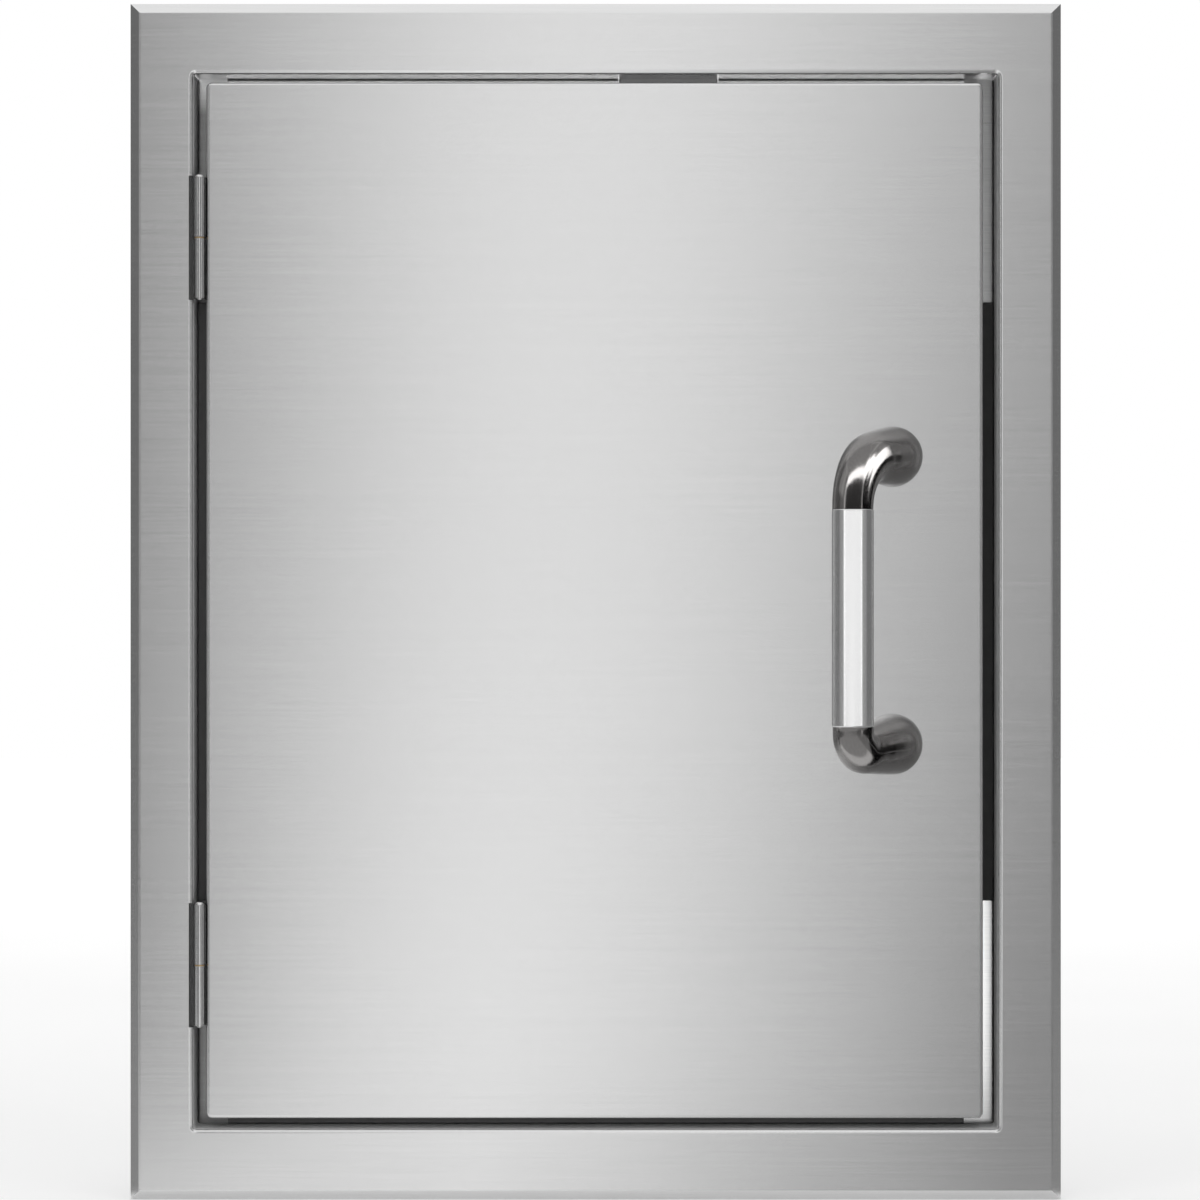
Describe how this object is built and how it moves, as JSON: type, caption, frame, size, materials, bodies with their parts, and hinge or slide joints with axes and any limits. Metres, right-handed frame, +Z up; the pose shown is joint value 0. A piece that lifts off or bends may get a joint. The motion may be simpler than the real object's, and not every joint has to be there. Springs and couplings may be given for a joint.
{
  "type": "access door",
  "caption": "Flush-mount stainless access door for an outdoor kitchen: bevelled frame with jamb, double-skinned hinged door, cranked pull handle, butt hinges and a magnetic catch.",
  "frame": {"origin": "centre of the wall cut-out, on the front plane of the wall", "axes": "+X to the right seen from the front, +Y into the wall, +Z up; the door faces -Y"},
  "size_m": [0.432, 0.1105, 0.555],
  "materials": {
    "frame_brushed_steel": "satin, brushed along the width",
    "stop_steel": "mill satin",
    "door_brushed_steel": "satin, brushed along the width",
    "polished_steel": "polished",
    "hinge_steel": "turned and satin",
    "rivet_steel": "bright",
    "zinc_steel": "zinc plated",
    "bumper_rubber": "matte black",
    "black_plastic": "moulded, fine texture",
    "ferrite": "sintered, dark grey",
    "bronze": "sintered bronze"
  },
  "bodies": {
    "frame": {"bezel": "frame_brushed_steel", "jamb_left": "frame_brushed_steel", "jamb_right": "frame_brushed_steel", "jamb_top": "frame_brushed_steel", "jamb_bottom": "frame_brushed_steel", "stop_left": "stop_steel", "stop_right": "stop_steel", "stop_top": "stop_steel", "stop_bottom": "stop_steel", "upper_hinge_frame_leaf": "hinge_steel", "lower_hinge_frame_leaf": "hinge_steel", "upper_hinge_pin": "hinge_steel", "lower_hinge_pin": "hinge_steel", "frame_rivets": "rivet_steel", "catch_poles": "zinc_steel", "catch_screws": "zinc_steel", "bumper_left": "bumper_rubber", "bumper_right": "bumper_rubber", "bumper_bottom": "bumper_rubber", "catch_housing": "black_plastic", "catch_magnet": "ferrite", "hinge_washers": "bronze"},
    "door": {"door_skin": "door_brushed_steel", "door_liner": "door_brushed_steel", "door_rivets": "rivet_steel", "upper_hinge_door_leaf": "hinge_steel", "lower_hinge_door_leaf": "hinge_steel", "handle_grip": "polished_steel", "handle_elbow_upper": "polished_steel", "handle_elbow_lower": "polished_steel", "handle_doubler": "zinc_steel", "handle_washers": "zinc_steel", "handle_screws": "zinc_steel", "liner_plugs": "black_plastic", "strike_plate": "zinc_steel", "strike_rivets": "rivet_steel"}
  },
  "joints": [
    {"name": "door_swing", "type": "hinge", "parent": "frame", "child": "door", "pos_m": [-0.1835, -0.009, 0], "axis": [0, 0, -1], "range_deg": [0, 165]}
  ]
}
